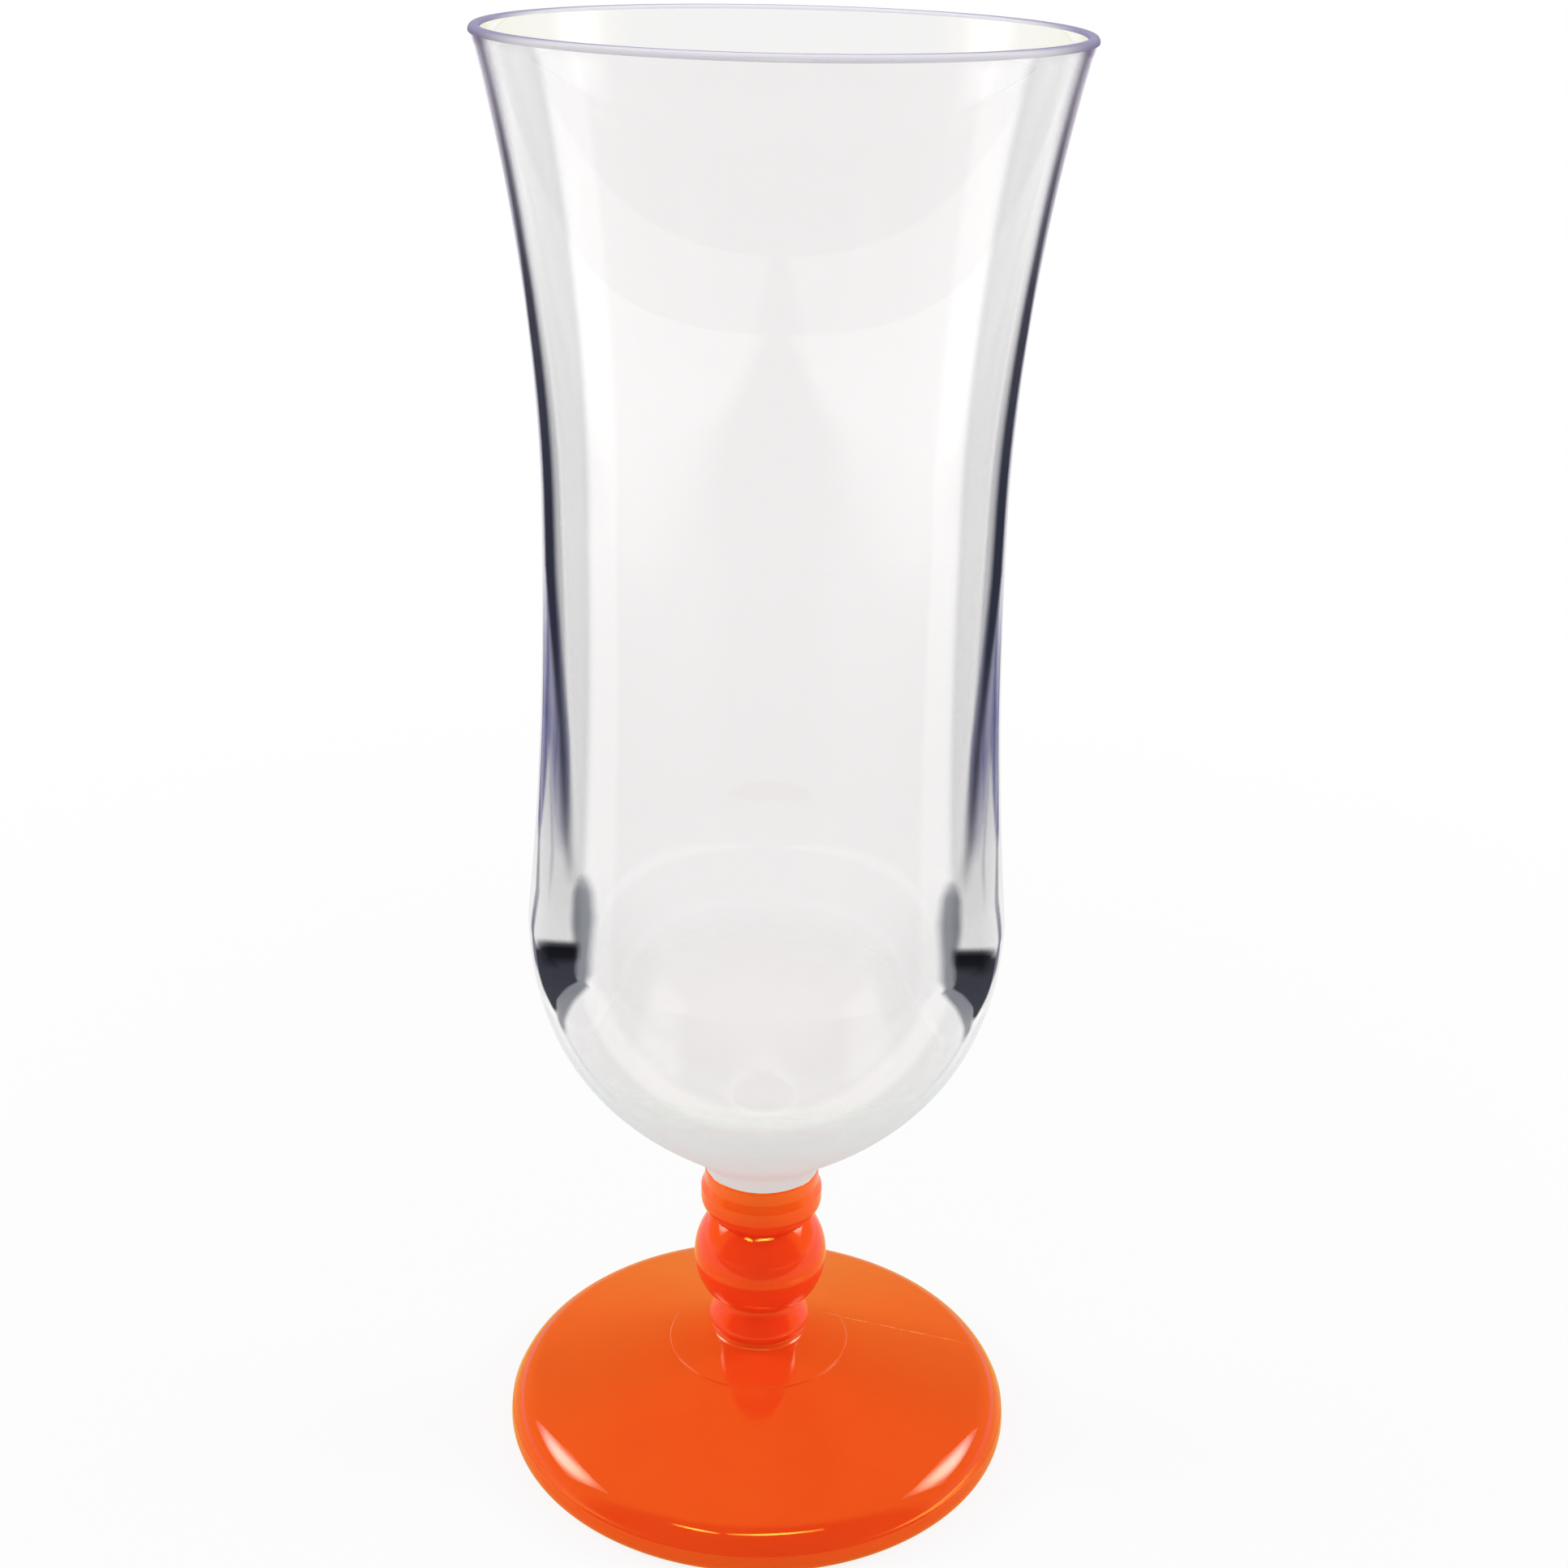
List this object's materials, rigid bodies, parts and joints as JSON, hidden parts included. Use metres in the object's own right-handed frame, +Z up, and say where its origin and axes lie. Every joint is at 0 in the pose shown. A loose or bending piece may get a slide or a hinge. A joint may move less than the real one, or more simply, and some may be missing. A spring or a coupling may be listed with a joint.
{
  "type": "hurricane glass",
  "caption": "Tall hourglass-shaped clear bowl that pushes into a coloured stem with a ball knop and a wide round foot.",
  "frame": {"origin": "centre of the foot's underside, on the surface that the glass stands on", "axes": "+Z up along the glass's axis of revolution, from the foot to the lip; every direction across it is alike"},
  "size_m": [0.0784, 0.0784, 0.21],
  "materials": {
    "clear_plastic": "clear, polished, moulded styrene",
    "orange_plastic": "translucent orange, polished, moulded styrene"
  },
  "bodies": {
    "stem_and_foot": {"stem_and_foot": "orange_plastic"},
    "bowl": {"bowl": "clear_plastic"}
  },
  "joints": [
    {"name": "bowl_pull_off", "type": "slide", "parent": "stem_and_foot", "child": "bowl", "axis": [0, 0, 1], "range_m": [0, 0.018]}
  ]
}
